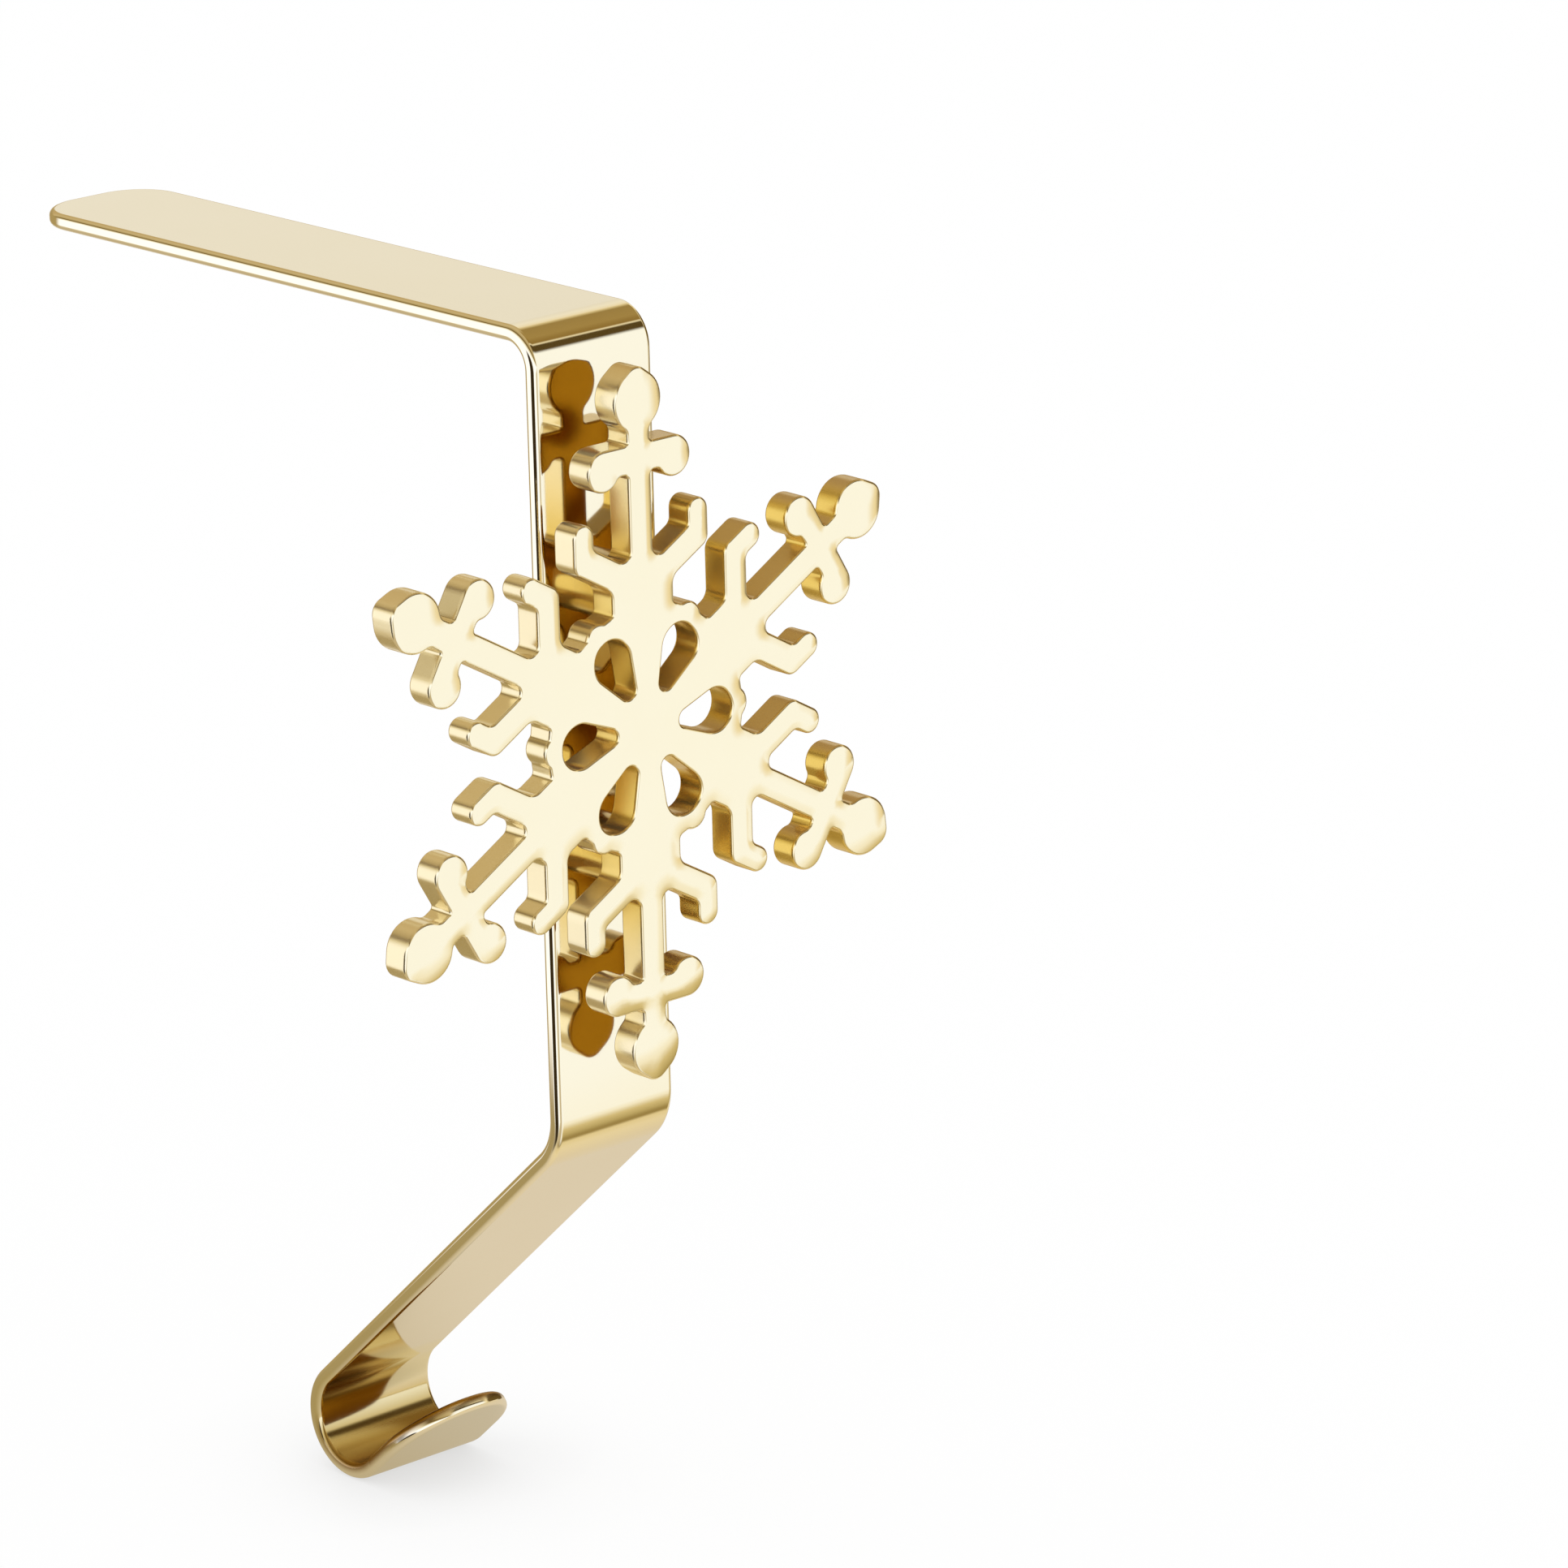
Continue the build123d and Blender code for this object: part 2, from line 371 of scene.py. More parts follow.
def strip_outline():
    """The flat outline, and pairs of its points that lie across the strip from each other in the bends."""
    half, tip_round = STRIP_WIDTH / 2, (STRIP_WIDTH - TIP_FLAT) / 2
    whole = sum(run[0] for run in STRIP_RUNS)
    stations, begin = [SEAT_CORNER], 0.0
    for length, turn, _, _ in STRIP_RUNS[:-1]:
        steps = max(1, math.ceil(abs(turn) / BEND_STEP))
        stations.extend(begin + length * (k + 1) / steps for k in range(steps))
        begin += length
    count = len(stations)
    near = np.array([(s, -half) for s in stations])
    far = np.array([(s, half) for s in stations[::-1]])
    tip, seat = whole - tip_round, SEAT_CORNER
    tip_corners = [
        corner((tip, -half + tip_round), tip_round, -math.pi / 2), [(whole, -TIP_FLAT / 2)],
        corner((tip, half - tip_round), tip_round, 0.0), [(tip, half)],
    ]
    seat_corners = [
        corner((seat, half - seat), seat, math.pi / 2)[1:], [(0.0, half - seat)],
        corner((seat, -half + seat), seat, math.pi),
    ]
    outline = np.concatenate([near, *tip_corners, far, *seat_corners])
    first_far = count + sum(len(part) for part in tip_corners)
    links = [(k, first_far + count - 1 - k) for k in range(1, count)]
    return outline, links


def strip_mesh():
    outline, links = strip_outline()
    side = inward(outline)
    surface = Surface(strip_place)
    back_edge = edge_rings(outline, side, STRIP_EDGE, STRIP_THICK, -1, math.pi / 2)
    front_edge = edge_rings(outline, side, STRIP_EDGE, 0.0, 1, math.pi / 2)
    surface.band(back_edge[::-1] + front_edge)
    face = outline + side * STRIP_EDGE
    web_start = SEAT_LENGTH + TOP_BEND_RADIUS * math.pi / 2
    flake_level = web_start - TOP_BEND_RADIUS + FLAKE_DROP
    middles = [(flake_level + reach, 0.0) for reach in (-POST_REACH, POST_REACH)]
    flat, faces = fill([face] + [circle(m, SCREW_HOLE_RADIUS) for m in middles], links=links)
    surface.add(flat, 0.0, FRONT, faces)
    flat, faces = fill([face] + [circle(m, SINK_RADIUS) for m in middles], links=links)
    surface.add(flat, STRIP_THICK, BACK, faces[:, ::-1])
    sink_end = STRIP_THICK - (SINK_RADIUS - SCREW_HOLE_RADIUS)
    slope = math.sqrt(0.5)
    for middle in middles:
        mouth, bore = circle(middle, SINK_RADIUS), circle(middle, SCREW_HOLE_RADIUS)
        out = -inward(mouth)
        sink = [ring(mouth, STRIP_THICK, out * slope, slope), ring(bore, sink_end, out * slope, slope)]
        surface.band(sink)
        surface.band([ring(bore, sink_end, out, 0.0), ring(bore, 0.0, out, 0.0)])
    return surface.mesh("bent_strip")


# Snowflake mesh

def front_loops(mesh):
    """The front face's outlines in X and Z, the longest first, and the front's Y.

    Each outline has the metal on its left.
    """
    points = np.array([v.co for v in mesh.vertices])
    front = points[:, 1].min()
    keys = [tuple(np.round(p * KEYS_PER_METRE).astype(int)) for p in points]
    edges = {}
    for face in mesh.polygons:
        if all(points[i][1] - front < FLAT_GAP for i in face.vertices):
            corners = [keys[i] for i in face.vertices]
            for a, b in zip(corners, corners[1:] + corners[:1]):
                edges[(a, b)] = True
    place = dict(zip(keys, points))
    leads = {a: b for a, b in edges if (b, a) not in edges}
    loops = []
    while leads:
        start, at = next(iter(leads.items()))
        del leads[start]
        loop = [start]
        while at != start:
            loop.append(at)
            at = leads.pop(at)
        loops.append(np.array([place[k][[0, 2]] for k in loop]))
    return sorted(loops, key=len, reverse=True), front


def resample(loop, longest):
    """The loop with its long straight runs divided."""
    out = []
    for a, b in zip(loop, np.roll(loop, -1, axis=0)):
        steps = max(1, math.ceil(np.linalg.norm(b - a) / longest))
        out.extend(a + (b - a) * k / steps for k in range(steps))
    return np.array(out)


def outline_tree(loop):
    """The loop's finely divided points, for finding the nearest one."""
    points = resample(loop, FINE_STEP)
    tree = KDTree(len(points))
    for k, (x, z) in enumerate(points):
        tree.insert((x, z, 0.0), k)
    tree.balance()
    return tree


def nearest(points, tree):
    """Distance from each point to the outline, and the unit direction away from it."""
    found = np.array([tuple(tree.find((x, z, 0.0))[0]) for x, z in points])[:, :2]
    gap = points - found
    size = np.linalg.norm(gap, axis=1)
    return size, gap / np.maximum(size, TINY)[:, None]


def crown(gap):
    """How far the front lies back at a distance from the outline."""
    return CROWN_DROP * np.clip(1 - gap / CROWN_WIDTH, 0, 1) ** 2


def crown_slope(gap):
    return 2 * CROWN_DROP / CROWN_WIDTH * np.clip(1 - gap / CROWN_WIDTH, 0, 1)


def crown_normals(points, tree, middle):
    """The front's normals, evened out in the middle of stems and fingers, with the lower arms bowed back."""
    gap, away = nearest(points, tree)
    lean = crown_slope(gap)[:, None] * away
    deep = gap > SMOOTH_REACH
    turns = np.linspace(0, 2 * math.pi, SMOOTH_TURNS, endpoint=False)
    for turn in turns:
        step = SMOOTH_REACH * np.array((math.cos(turn), math.sin(turn)))
        gap, away = nearest(points[deep] + step, tree)
        lean[deep] += crown_slope(gap)[:, None] * away
    lean[deep] /= len(turns) + 1
    lean[:, 1] += LOWER_LEAN * np.maximum(middle - points[:, 1], 0)
    made = np.column_stack([-lean, -np.ones(len(lean))])
    return made / np.linalg.norm(made, axis=1)[:, None]


def flake_place(flat, depth, normals):
    return np.column_stack([flat[:, 0], depth, flat[:, 1]]), normals[:, [0, 2, 1]]


def flake_mesh(cad, web, middle):
    loops, front = front_loops(cad)
    loops = [resample(loop, LONGEST_STEP) for loop in loops]
    sides = [inward(loop) for loop in loops]
    trees = [outline_tree(loop) for loop in loops]
    back = front + FLAKE_THICK
    surface = Surface(flake_place)
    front_rings, back_rings = [], []
    for loop, side in zip(loops, sides):
        gap, _ = nearest(loop + side * FLAKE_EDGE, trees[0])
        lip = math.pi / 2 - float(crown_slope(gap).mean())
        back_edge = edge_rings(loop, side, FLAKE_EDGE, back, -1, math.pi / 2)
        front_edge = edge_rings(loop, side, FLAKE_EDGE, front + crown(gap), 1, lip)
        surface.band(back_edge[::-1] + front_edge)
        front_rings.append(front_edge[-1][0])
        back_rings.append(back_edge[-1][0])
    extra = []
    for step in CROWN_STEPS:
        near = np.concatenate([loop + side * step for loop, side in zip(loops, sides)])
        if step > CROWN_STEPS[1]:
            near = near[::2]
        clear = np.min([nearest(near, tree)[0] for tree in trees], axis=0)
        extra.extend(near[(clear > CLEAR_SHARE * step) & inside(near, loops)])
    flat, faces = fill(front_rings, extra)
    gap, _ = nearest(flat, trees[0])
    surface.add(flat, front + crown(gap), crown_normals(flat, trees[0], middle), faces)
    posts = [circle((0.0, middle + reach), POST_RADIUS) for reach in (POST_REACH, -POST_REACH)]
    flat, faces = fill(back_rings + posts)
    surface.add(flat, back, BACK, faces[:, ::-1])
    for post in posts:
        wall = post[::-1]
        out = -inward(wall)
        surface.band([ring(wall, web, out, 0.0), ring(wall, back, out, 0.0)])
        surface.add(wall, web, BACK, [range(ROUND_STEPS)[::-1]])
    return surface.mesh("snowflake_casting")


# Materials

STRIP_GOLD = (0.985, 0.935, 0.755)
STRIP_GOLD_DULL = (0.970, 0.915, 0.725)
HOOK_GOLD = (0.990, 0.920, 0.640)
# Painted shade inside the hook, deepening towards the tip
HOOK_SHADE_LOW = (0.600, 0.450, 0.170)
HOOK_SHADE_DEEP = (0.330, 0.165, 0.015)
FRONT_GOLD = (0.985, 0.926, 0.722)
FRONT_GOLD_DULL = (0.972, 0.910, 0.695)
SATIN_GOLD = (0.945, 0.835, 0.540)
SATIN_GOLD_DULL = (0.930, 0.810, 0.500)
# Painted shade of the sheltered walls in the middle and to the right
SATIN_SHADE_DEEP = (0.850, 0.600, 0.130)
# Painted shade of the upward-facing walls among them
SATIN_SHADE_TOP = (0.620, 0.440, 0.180)
REAR_GOLD = (0.820, 0.620, 0.270)
# Painted shade of the back where the strip lies behind it
REAR_SHADE_DEEP = (0.360, 0.165, 0.008)
SCREW_STEEL = (0.66, 0.65, 0.63)
SCREW_STEEL_DULL = (0.52, 0.51, 0.49)

# Colours by a noise or, in the hook, by the place from the tongue to the tip; the hook's colours are a painted
# shade, darker towards the tip
STRIP_STOPS = ((0.3, STRIP_GOLD_DULL), (0.7, STRIP_GOLD))
HOOK_SHADE_STOPS = ((0.20, HOOK_GOLD), (0.42, HOOK_SHADE_LOW), (0.88, HOOK_SHADE_DEEP))
FRONT_STOPS = ((0.3, FRONT_GOLD_DULL), (0.7, FRONT_GOLD))
WALL_STOPS = ((0.25, SATIN_GOLD_DULL), (0.75, SATIN_GOLD))
SCREW_STOPS = ((0.3, SCREW_STEEL_DULL), (0.7, SCREW_STEEL))

# Faint handling marks, soft waves of a polished plate, lines across the hook, turned marks on the screws
MARKS = {"Scale": 60.0, "Detail": 5.0, "Roughness": 0.6}
WAVES = {"Scale": 40.0, "Detail": 1.0, "Roughness": 0.4}
LINES = {"Scale": 900.0, "Detail": 3.0}
LINE_STRETCH = (0.04, 1.0, 1.0)
TURNING = {"Scale": 900.0, "Detail": 4.0}
PLATE_RELIEF = {"Strength": 0.03, "Distance": 0.0006}
TURNING_RELIEF = {"Strength": 0.2, "Distance": 0.00005}

# Roughness, as a range over a noise, and the walls' share of metal
POLISHED_ROUGH = (0.05, 0.08)
HOOK_ROUGH = (0.09, 0.12)
HOOK_ROUGH_DULL = (0.28, 0.33)
WALL_ROUGH = (0.19, 0.23)
WALL_ROUGH_DULL = (0.22, 0.27)
SCREW_ROUGH = (0.25, 0.42)
WALL_METAL = 0.8

# The hook's inner face: distances from the curl's axis, then places over the axis and along the tip
IN_CURL = (6.7 * MM, 5.5 * MM)
TIP_UNDER = (6.7 * MM, 5.7 * MM)
TIP_OVER = (2.0 * MM, 4.0 * MM)
TIP_START = (-0.5 * MM, 0.5 * MM)
HOOK_SPAN = (-6.0 * MM, 6.0 * MM)
HOOK_DULL = (-1.5 * MM, 1.0 * MM)

# The snowflake's faces by a part of the normal, then its zones by place
FACING_FRONT = (-0.5, -0.9)
FACING_REAR = (0.3, 0.7)
FACING_UP = (0.55, 0.95)
BEFORE_STRIP = (13.0 * MM, 9.0 * MM)
SHADE_AND_DULL_WALLS = (-12.0 * MM, -3.0 * MM)
OUTER_ARMS = (14.0 * MM, 32.0 * MM)
OUTER_SHIFT = 8.0 * MM


def polish_marks(tree, coordinates):
    return noise(tree, coordinates, MARKS), noise(tree, coordinates, WAVES)


def metal(tree, colour, rough, normal, metallic=1.0):
    shader = node(tree, "ShaderNodeBsdfPrincipled", {
        "Base Color": colour, "Metallic": metallic, "Roughness": rough, "Normal": normal,
    })
    node(tree, "ShaderNodeOutputMaterial", {"Surface": shader.outputs[0]})


def hook_parts(tree, coordinates):
    """1 on the hook's inner face, that face's colour, a painted shade deepening towards the tip, and 1 on its
    duller half towards the tip.
    """
    swing, sweep = math.sin(HOOK_HEADING), math.cos(HOOK_HEADING)
    axis = (0.0, float(HOOK_AXIS[0]), float(HOOK_AXIS[1]))
    place = node(tree, "ShaderNodeVectorMath", {0: coordinates, 1: axis}, operation="SUBTRACT").outputs[0]
    over, along = dot(tree, place, (0.0, swing, -sweep)), dot(tree, place, (0.0, -sweep, -swing))
    squares = math_node(tree, "ADD", product(tree, over, over), product(tree, along, along))
    in_curl = smooth(tree, math_node(tree, "SQRT", squares), *IN_CURL)
    in_tip = product(
        tree, smooth(tree, over, *TIP_UNDER), smooth(tree, over, *TIP_OVER), smooth(tree, along, *TIP_START),
    )
    inner = ramp(tree, map_range(tree, over, *HOOK_SPAN), HOOK_SHADE_STOPS)
    return math_node(tree, "MAXIMUM", in_curl, in_tip), inner, smooth(tree, over, *HOOK_DULL)


def strip_material():
    """Polished gold plate; inside the hook a deeper colour that is painted shade, darker towards the tip, with
    fine lines across it in the sheen.
    """
    material = bpy.data.materials.new("polished_gold_strip")
    tree = new_tree(material)
    coordinates = node(tree, "ShaderNodeTexCoord").outputs["Object"]
    marks, waves = polish_marks(tree, coordinates)
    stretched = node(tree, "ShaderNodeMapping", {"Vector": coordinates, "Scale": LINE_STRETCH}).outputs[0]
    lines = noise(tree, stretched, LINES)
    in_hook, inner, dull = hook_parts(tree, coordinates)
    # The hook's inner face takes a painted shade in place of the plate's gold
    colour = mix_colour(tree, in_hook, ramp(tree, marks, STRIP_STOPS), inner)
    hook_rough = mix_value(tree, dull, spread(tree, lines, *HOOK_ROUGH), spread(tree, lines, *HOOK_ROUGH_DULL))
    rough = mix_value(tree, in_hook, spread(tree, marks, *POLISHED_ROUGH), hook_rough)
    metal(tree, colour, rough, relief(tree, waves, PLATE_RELIEF))
    return material


def flake_material():
    """Polished gold front, satin walls that are duller to the right and deeper there from painted shade, a
    painted shade on the top walls there, and on the back a deep gold with painted shade behind the strip.
    """
    material = bpy.data.materials.new("cast_gold_snowflake")
    tree = new_tree(material)
    coordinates = node(tree, "ShaderNodeTexCoord").outputs["Object"]
    marks, waves = polish_marks(tree, coordinates)
    normal = node(tree, "ShaderNodeNewGeometry").outputs["Normal"]
    facing, upward = node(tree, "ShaderNodeSeparateXYZ", {0: normal}).outputs[1:3]
    polished, rear = smooth(tree, facing, *FACING_FRONT), smooth(tree, facing, *FACING_REAR)
    across, _, level = node(tree, "ShaderNodeSeparateXYZ", {0: coordinates}).outputs

    # The dull zone, whose deeper colour is painted shade, takes in the middle and the right, and begins
    # further right on the upper and lower arms
    reach = math_node(tree, "ABSOLUTE", math_node(tree, "ADD", level, FLAKE_DROP))
    shift = product(tree, smooth(tree, reach, *OUTER_ARMS), OUTER_SHIFT)
    dull = smooth(tree, math_node(tree, "SUBTRACT", across, shift), *SHADE_AND_DULL_WALLS)
    # Walls in the dull zone take a painted shade
    walls = mix_colour(tree, dull, ramp(tree, waves, WALL_STOPS), SATIN_SHADE_DEEP)
    # Upward-facing walls there are painted darker still
    top_shade = product(tree, dull, smooth(tree, upward, *FACING_UP))
    walls = mix_colour(tree, top_shade, walls, SATIN_SHADE_TOP)
    # The back is painted darker where the strip lies behind it
    painted_shade_zone = smooth(tree, math_node(tree, "ABSOLUTE", across), *BEFORE_STRIP)
    back = mix_colour(tree, painted_shade_zone, REAR_GOLD, REAR_SHADE_DEEP)
    colour = mix_colour(tree, polished, mix_colour(tree, rear, walls, back), ramp(tree, marks, FRONT_STOPS))

    wall_rough = mix_value(tree, dull, spread(tree, waves, *WALL_ROUGH), spread(tree, waves, *WALL_ROUGH_DULL))
    rough = mix_value(tree, polished, wall_rough, spread(tree, marks, *POLISHED_ROUGH))
    wall = math_node(tree, "SUBTRACT", 1.0, math_node(tree, "MAXIMUM", polished, rear))
    satin = product(tree, wall, math_node(tree, "ADD", dull, 1.0))
    metallic = map_range(tree, satin, 0.0, 2.0, 1.0, WALL_METAL)
    metal(tree, colour, rough, relief(tree, waves, PLATE_RELIEF), metallic)
    return material


def screw_material():
    """Zinc-plated steel with turned marks."""
    material = bpy.data.materials.new("plated_steel_screw")
    tree = new_tree(material)
    coordinates = node(tree, "ShaderNodeTexCoord").outputs["Object"]
    marks = noise(tree, coordinates, TURNING)
    colour, rough = ramp(tree, marks, SCREW_STOPS), spread(tree, marks, *SCREW_ROUGH)
    metal(tree, colour, rough, relief(tree, marks, TURNING_RELIEF))
    return material


# Pieces

def add_piece(mesh, material, node_name):
    piece = bpy.data.objects.new(mesh.name, mesh)
    bpy.context.scene.collection.objects.link(piece)
    mesh.materials.append(material)
    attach(piece, "root")
    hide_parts(node_name)


STRIP_RUNS = strip_runs()
HOOK_RUN = 5
HOOK_START, HOOK_HEADING = STRIP_RUNS[HOOK_RUN][2:]
HOOK_AXIS = HOOK_START + HOOK_RADIUS * np.array((math.sin(HOOK_HEADING), -math.cos(HOOK_HEADING)))
add_piece(strip_mesh(), strip_material(), "hook_strip")

flake_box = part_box("snowflake")
flake_middle = (flake_box[0].z + flake_box[1].z) / 2
casting = flake_mesh(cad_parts["snowflake"].data, flake_box[1].y, flake_middle)
add_piece(casting, flake_material(), "snowflake")

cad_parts["fixing_screws"].material_slots[0].material = screw_material()


# Floor: white where it is seen, with a painted contact shadow near the object, and a painted warm shade close
# to the object that only the metal's reflections show

FLOOR_REACH = 6.0
FLOOR_WHITE = (0.99, 0.99, 0.99, 1.0)
FLOOR_GLOW = (1.0, 1.0, 1.0, 1.0)
FLOOR_LIFT = 0.88
# Painted contact shadow: the reach of the occlusion, and the glow's level where it is darkest
CONTACT_REACH = 0.025
CONTACT_SHADOW_LEVEL = 0.745
# Painted shades that only the metal's reflections show
SIDE_SHADE = (0.390, 0.300, 0.140)
CONTACT_SHADE = (0.580, 0.510, 0.400)

# Round zones: middle, then the distances where they begin to fade and end
UNDER = ((0.015, 0.0), 0.075, 0.115)
BESIDE = ((-0.065, 0.050), 0.055, 0.110)
TOUCHING = ((0.003, -0.014), 0.008, 0.017)

# The zone in front of the object: its left, far and near edges
AHEAD_LEFT = (0.0, 0.03)
AHEAD_FAR = (-0.20, -0.17)
AHEAD_NEAR = (0.0, -0.04)

# Painted shade seen only in reflections, in front of and under the object, by place along Y in millimetres
NEAR_SHADES = (
    (-200, (1.000, 1.000, 1.000)),
    (-173, (0.990, 0.970, 0.920)),
    (-143, (0.930, 0.860, 0.700)),
    (-117, (0.670, 0.534, 0.260)),
    (-99, (0.512, 0.394, 0.162)),
    (-88, (0.340, 0.240, 0.081)),
    (-83, (0.340, 0.240, 0.081)),
    (-77, (0.773, 0.630, 0.350)),
    (-65, (0.815, 0.683, 0.436)),
    (-42, (0.743, 0.630, 0.450)),
    (-15, (0.722, 0.630, 0.503)),
)


def near_place(tree, position, middle, inner, outer):
    """1 on the floor within a distance of a place, falling to 0."""
    target = (*middle, cad_box[0].z)
    gap = node(tree, "ShaderNodeVectorMath", {0: position, 1: target}, operation="DISTANCE")
    return smooth(tree, gap.outputs["Value"], outer, inner)


def floor_material():
    material = bpy.data.materials.new("pale_floor")
    tree = new_tree(material)
    paper = node(tree, "ShaderNodeBsdfDiffuse", {"Color": FLOOR_WHITE}).outputs[0]
    # The seen floor's glow is dimmed by ambient occlusion near the object: a painted contact shadow
    open_share = node(tree, "ShaderNodeAmbientOcclusion", {"Distance": CONTACT_REACH}).outputs["AO"]
    level = map_range(tree, open_share, 0.0, 1.0, CONTACT_SHADOW_LEVEL, 1.0)
    glow_with_painted_shadow = node(tree, "ShaderNodeEmission", {"Color": FLOOR_GLOW, "Strength": level}).outputs[0]
    path = node(tree, "ShaderNodeLightPath")
    lift = product(tree, path.outputs["Is Camera Ray"], FLOOR_LIFT)
    seen = node(tree, "ShaderNodeMixShader", {0: lift, 1: paper, 2: glow_with_painted_shadow}).outputs[0]
    position = node(tree, "ShaderNodeNewGeometry").outputs["Position"]
    x, y = node(tree, "ShaderNodeSeparateXYZ", {0: position}).outputs[:2]
    ahead = product(
        tree, smooth(tree, x, *AHEAD_LEFT), smooth(tree, y, *AHEAD_FAR), smooth(tree, y, *AHEAD_NEAR),
    )
    near = math_node(tree, "MAXIMUM", near_place(tree, position, *UNDER), ahead)
    beside = near_place(tree, position, *BESIDE)
    first, last = NEAR_SHADES[0][0], NEAR_SHADES[-1][0]
    place = map_range(tree, y, first * MM, last * MM)
    shade = ramp(tree, place, [((at - first) / (last - first), colour) for at, colour in NEAR_SHADES])
    touching = near_place(tree, position, *TOUCHING)
    shade = mix_colour(tree, touching, shade, CONTACT_SHADE)
    shade = mix_colour(tree, beside, shade, SIDE_SHADE)
    painted_shade_zone = math_node(tree, "MAXIMUM", near, beside)
    # A glow seen only by glossy rays: a painted reflection of shade near the object
    reflected_shade_glow = node(tree, "ShaderNodeEmission", {"Color": shade, "Strength": 1.0}).outputs[0]
    clear = node(tree, "ShaderNodeBsdfTransparent").outputs[0]
    painted_reflection = node(tree, "ShaderNodeMixShader", {0: painted_shade_zone, 1: clear, 2: reflected_shade_glow}).outputs[0]
    shader = node(tree, "ShaderNodeMixShader", {0: path.outputs["Is Glossy Ray"], 1: seen, 2: painted_reflection})
    node(tree, "ShaderNodeOutputMaterial", {"Surface": shader.outputs[0]})
    return material


def add_floor():
    mesh = bpy.data.meshes.new("floor")
    corners = ((-1, -1), (1, -1), (1, 1), (-1, 1))
    points = [(x * FLOOR_REACH, y * FLOOR_REACH, cad_box[0].z) for x, y in corners]
    mesh.from_pydata(points, [], [(0, 1, 2, 3)])
    mesh.materials.append(floor_material())
    floor = bpy.data.objects.new("floor", mesh)
    bpy.context.scene.collection.objects.link(floor)


add_floor()


# World: even white light, and for what the metal mirrors a studio of long panels that lie across it.
# Panels by the angle round the X axis, in degrees from the back (+Y) over the top.

WHITE = (1.0, 1.0, 1.0)
PANELS = (
    (0, (0.930, 0.910, 0.890)),
    (20, (0.812, 0.750, 0.634)),
    (26, (0.815, 0.752, 0.634)),
    (42, (0.880, 0.810, 0.675)),
    (54, (0.860, 0.750, 0.540)),
    (59, (0.680, 0.540, 0.280)),
    (67, (0.333, 0.220, 0.068)),
    (100, (0.363, 0.240, 0.072)),
    (114, (0.284, 0.173, 0.042)),
    (118, (0.284, 0.173, 0.042)),
    (120, (0.800, 0.690, 0.460)),
    (122, (0.800, 0.690, 0.460)),
    (125, (0.092, 0.056, 0.014)),
    (140, (0.092, 0.056, 0.014)),
    (147, WHITE),
    (250, WHITE),
    (278, (0.743, 0.630, 0.450)),
    (300, (0.722, 0.630, 0.503)),
    (318, (0.620, 0.520, 0.360)),
    (332, (0.950, 0.930, 0.880)),
    (338, WHITE),
    (348, WHITE),
)

# The rest of the studio by the angle round the Y axis, in degrees from the right (+X) over the top
LEFT_LAMP = (1.150, 1.150, 1.250)
SIDES = (
    (0, (0.700, 0.600, 0.420)),
    (20, (0.520, 0.380, 0.175)),
    (60, (0.520, 0.380, 0.175)),
    (96, (0.590, 0.460, 0.250)),
    (121, (0.430, 0.320, 0.140)),
    (132, (0.150, 0.090, 0.020)),
    (137, (0.170, 0.105, 0.025)),
    (147, (0.800, 0.700, 0.480)),
    (156, WHITE),
    (164, LEFT_LAMP),
    (207, LEFT_LAMP),
    (213, WHITE),
    (221, (0.640, 0.540, 0.360)),
    (240, (0.550, 0.450, 0.290)),
    (270, (0.520, 0.420, 0.270)),
    (296, (0.600, 0.500, 0.330)),
    (310, WHITE),
    (345, WHITE),
)
LEFT_FLAG = (-0.955, -0.070, -0.290)
FLAG_COLOUR = (0.035, 0.022, 0.008)
RIGHT_SIDE = (0.860, 0.720, 0.440)
RIGHT_END = (0.130, 0.080, 0.020)
REAR_RIGHT = (0.520, 0.380, 0.175)
FAR_END = (0.420, 0.310, 0.130)

# Where the studio's zones begin and are full, by one part of the mirrored direction
SIDES_Y = (0.0, 0.3)
SIDES_X = (0.1, -0.1)
SIDES_END_X = (0.56, 0.48)
REAR_RIGHT_X = (0.40, 0.48)
REAR_RIGHT_Y = (0.3, 0.5)
REAR_RIGHT_Z = (0.20, 0.12)
FLAG_NEAR = (0.85, 0.91)
RIGHT_SIDE_X = (0.74, 0.86)
RIGHT_END_X = (0.85, 0.90)
FAR_END_Y = (0.80, 0.95)
FAR_END_Z = (0.30, 0.15)


def round_ramp(tree, rise, run, stops):
    """Colours by the angle whose tangent is rise over run."""
    turn = math_node(tree, "DIVIDE", math_node(tree, "ARCTAN2", rise, run), 2 * math.pi)
    turn = math_node(tree, "FRACT", math_node(tree, "ADD", turn, 1.0))
    return ramp(tree, turn, [(angle / 360, colour) for angle, colour in stops])


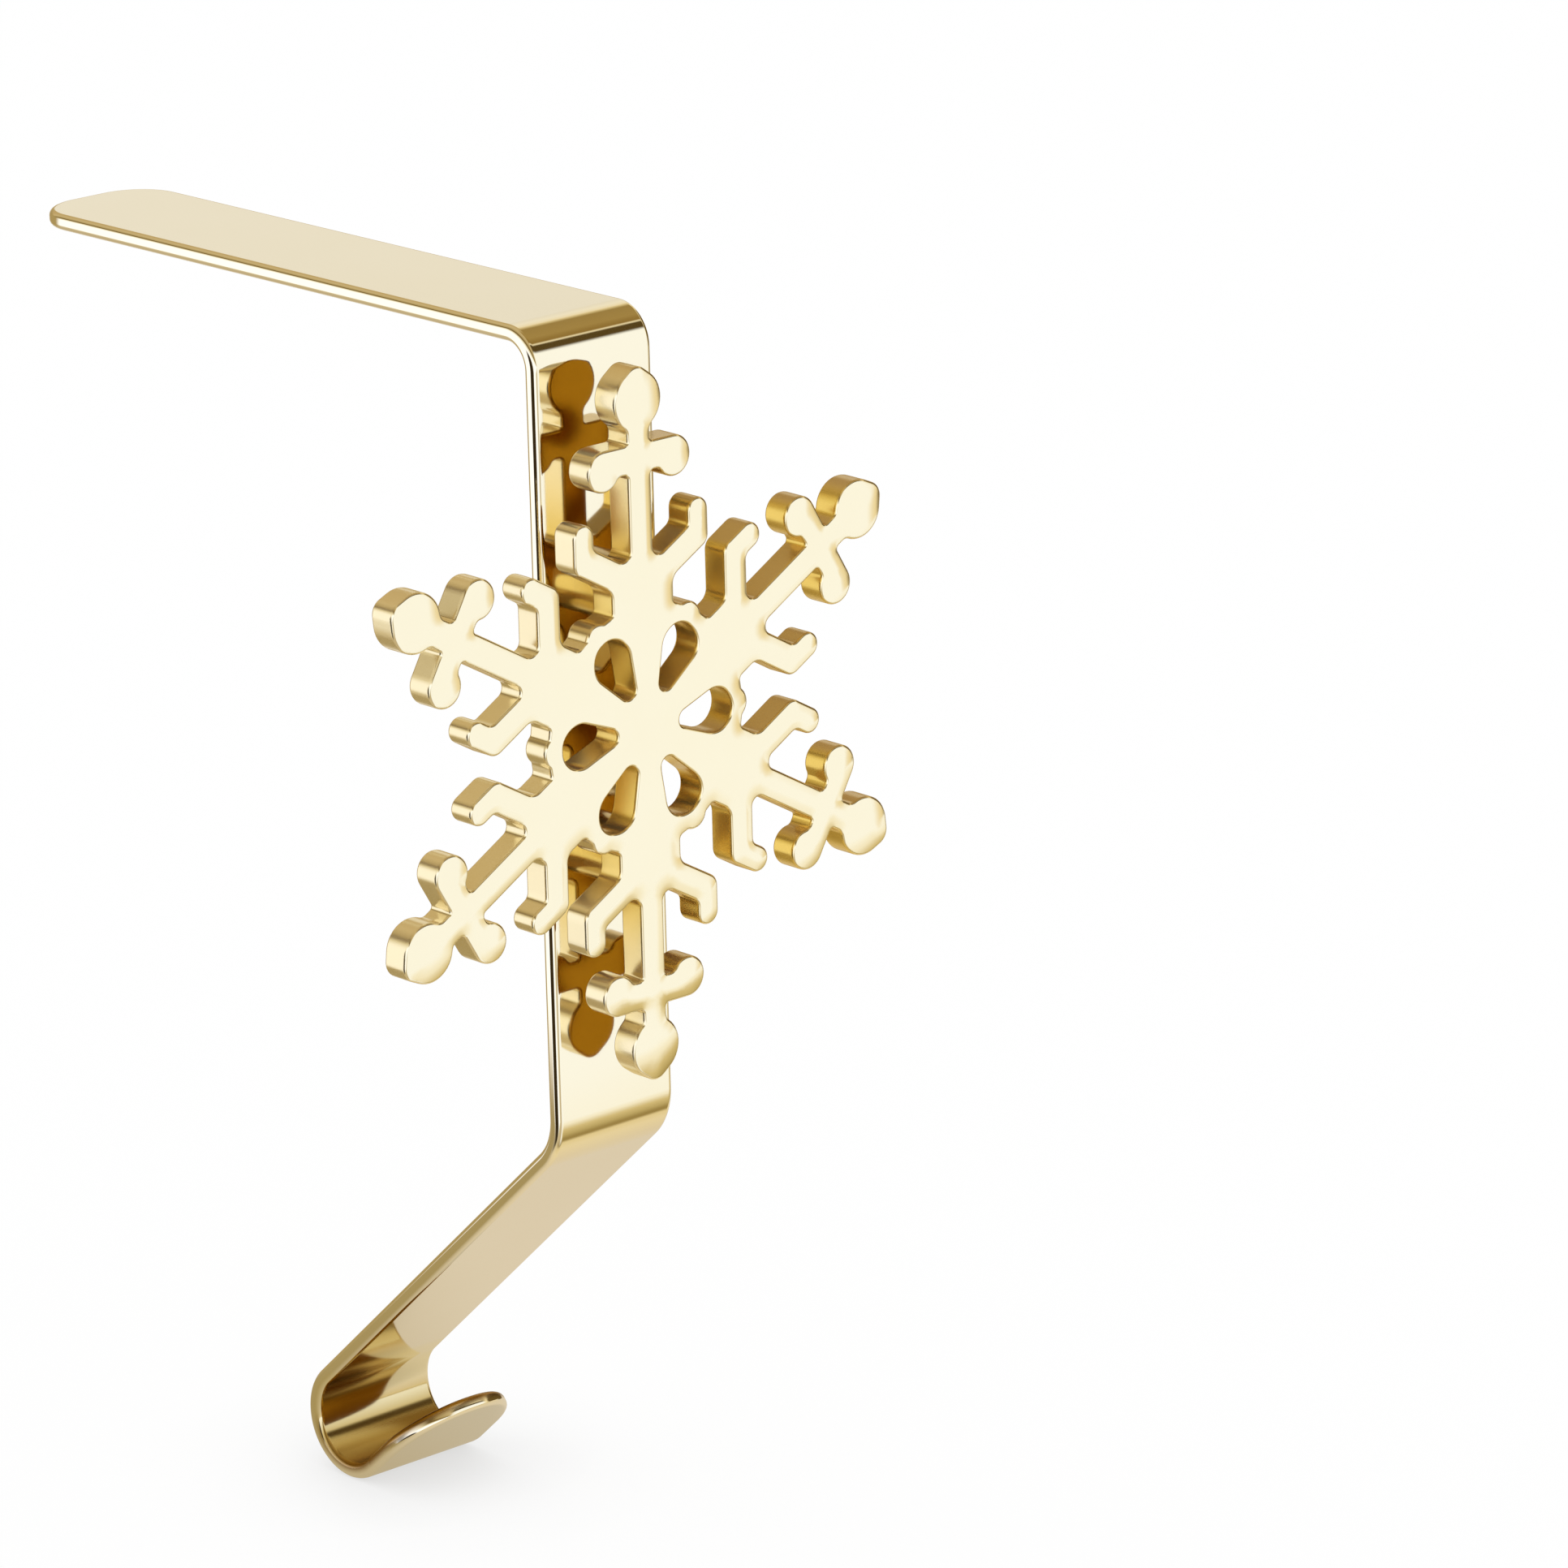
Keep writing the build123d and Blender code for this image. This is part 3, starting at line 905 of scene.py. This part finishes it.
def studio():
    world = bpy.data.worlds.new("studio")
    bpy.context.scene.world = world
    tree = new_tree(world)
    direction = node(tree, "ShaderNodeTexCoord").outputs["Generated"]
    x, y, z = node(tree, "ShaderNodeSeparateXYZ", {0: direction}).outputs[:3]
    panels, sides = round_ramp(tree, z, y, PANELS), round_ramp(tree, z, x, SIDES)
    aside = math_node(tree, "MAXIMUM", smooth(tree, y, *SIDES_Y), smooth(tree, x, *SIDES_X))
    colour = mix_colour(tree, product(tree, aside, smooth(tree, x, *SIDES_END_X)), panels, sides)
    low_rear = product(
        tree, smooth(tree, z, *REAR_RIGHT_Z), smooth(tree, y, *REAR_RIGHT_Y), smooth(tree, x, *REAR_RIGHT_X),
    )
    far_end = product(tree, smooth(tree, y, *FAR_END_Y), smooth(tree, z, *FAR_END_Z))
    for share, zone_colour in (
        (low_rear, REAR_RIGHT),
        (smooth(tree, dot(tree, direction, LEFT_FLAG), *FLAG_NEAR), FLAG_COLOUR),
        (smooth(tree, x, *RIGHT_SIDE_X), RIGHT_SIDE),
        (smooth(tree, x, *RIGHT_END_X), RIGHT_END),
        (far_end, FAR_END),
    ):
        colour = mix_colour(tree, share, colour, zone_colour)
    glossy = node(tree, "ShaderNodeLightPath").outputs["Is Glossy Ray"]
    colour = mix_colour(tree, glossy, WHITE, colour)
    light = node(tree, "ShaderNodeBackground", {"Color": colour, "Strength": 1.0})
    node(tree, "ShaderNodeOutputWorld", {"Surface": light.outputs[0]})


studio()


# Camera

camera_data = bpy.data.cameras.new("camera")
camera_data.sensor_width = SENSOR
camera_data.lens = SENSOR * FOCAL_PIXELS / PHOTO_PIXELS
camera_data.clip_start = CLIP_START
camera_data.clip_end = CLIP_END
camera = bpy.data.objects.new("camera", camera_data)
bpy.context.scene.collection.objects.link(camera)
backward = CAMERA_RIGHT.cross(CAMERA_UP).normalized()
sideways = CAMERA_UP.cross(backward).normalized()
turned = Matrix((sideways, backward.cross(sideways), backward)).transposed()
camera.matrix_world = Matrix.Translation(CAMERA_PLACE) @ turned.to_4x4()
bpy.context.scene.camera = camera
bpy.context.scene.view_settings.view_transform = "Standard"
